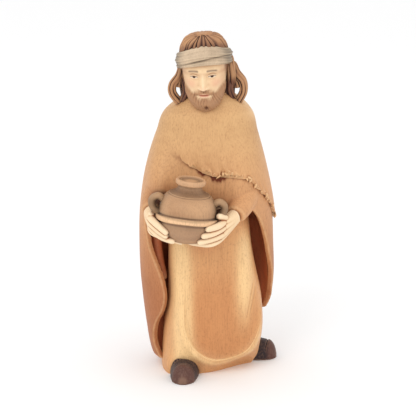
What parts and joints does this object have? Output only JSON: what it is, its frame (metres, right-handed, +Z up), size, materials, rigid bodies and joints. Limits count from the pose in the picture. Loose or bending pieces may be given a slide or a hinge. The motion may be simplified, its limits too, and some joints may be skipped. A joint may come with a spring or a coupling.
{
  "type": "wooden shepherd figurine",
  "caption": "Carved standing man with beard, headband and long cape over a robe, holding a lidded round pot with loop handles in both hands, stepping forward on a flat underside",
  "frame": {"origin": "centre of the base of the bounding box, on the ground plane", "axes": "+Z up through the head, -Y out of the face and the pot, +X towards the figure's left hand"},
  "size_m": [0.061, 0.0672, 0.1501],
  "materials": {
    "carved_wood": "carved softwood, stained in several browns and rubbed back on the ridges, satin matt"
  },
  "bodies": {
    "root": {"shepherd_figure": "carved_wood"}
  },
  "joints": []
}
